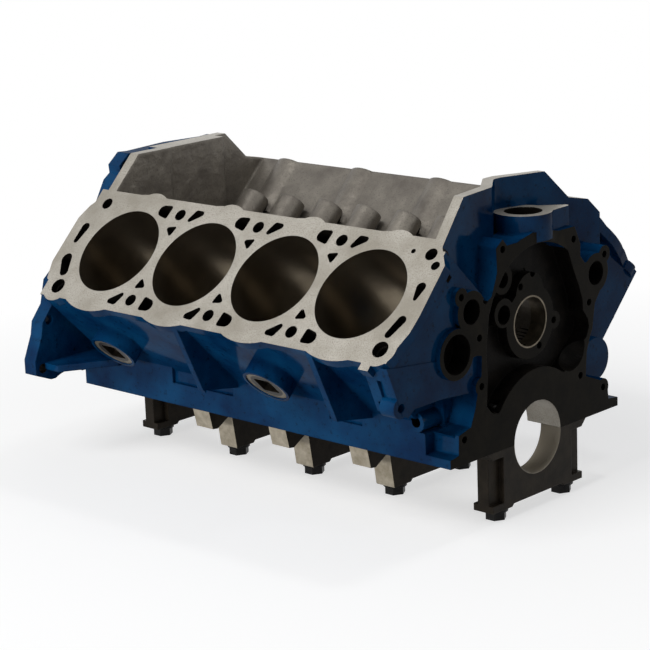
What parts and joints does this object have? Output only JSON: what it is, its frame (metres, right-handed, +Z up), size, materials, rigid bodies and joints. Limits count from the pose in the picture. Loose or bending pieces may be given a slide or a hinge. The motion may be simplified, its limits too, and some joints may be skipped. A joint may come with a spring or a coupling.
{
  "type": "engine block",
  "caption": "Bare cast iron V8 cylinder block with its main bearing caps bolted on, painted blue outside, with machined decks and open bores.",
  "frame": {"origin": "on the crankshaft axis, in the middle of the centre main bearing, on the plane where caps meet block", "axes": "+X along the crankshaft to the timing end, +Y to the far bank, +Z up the middle of the V"},
  "size_m": [0.587, 0.491, 0.358],
  "materials": {
    "painted_iron": "gloss blue paint over sand-cast iron, machined faces bare",
    "cap_iron": "dark as-cast iron with machined joint and side faces",
    "black_steel": "black oxide",
    "bearing_shell": "fine bored bearing metal on steel",
    "plug_steel": "turned steel with a dull film of oil"
  },
  "bodies": {
    "root": {"engine_block": "painted_iron", "main_cap_1": "cap_iron", "main_cap_2": "cap_iron", "main_cap_3": "cap_iron", "main_cap_4": "cap_iron", "main_cap_5": "cap_iron", "main_cap_bolts": "black_steel", "cam_bearing_1": "bearing_shell", "cam_bearing_2": "bearing_shell", "cam_bearing_3": "bearing_shell", "cam_bearing_4": "bearing_shell", "cam_bearing_5": "bearing_shell", "side_core_plug_near_1": "plug_steel", "side_core_plug_near_2": "plug_steel", "side_core_plug_far_1": "plug_steel", "side_core_plug_far_2": "plug_steel", "cam_rear_plug": "plug_steel", "rear_core_plug_near": "plug_steel", "rear_core_plug_far": "plug_steel", "oil_gallery_plugs": "black_steel", "bell_housing_dowels": "plug_steel"}
  },
  "joints": []
}
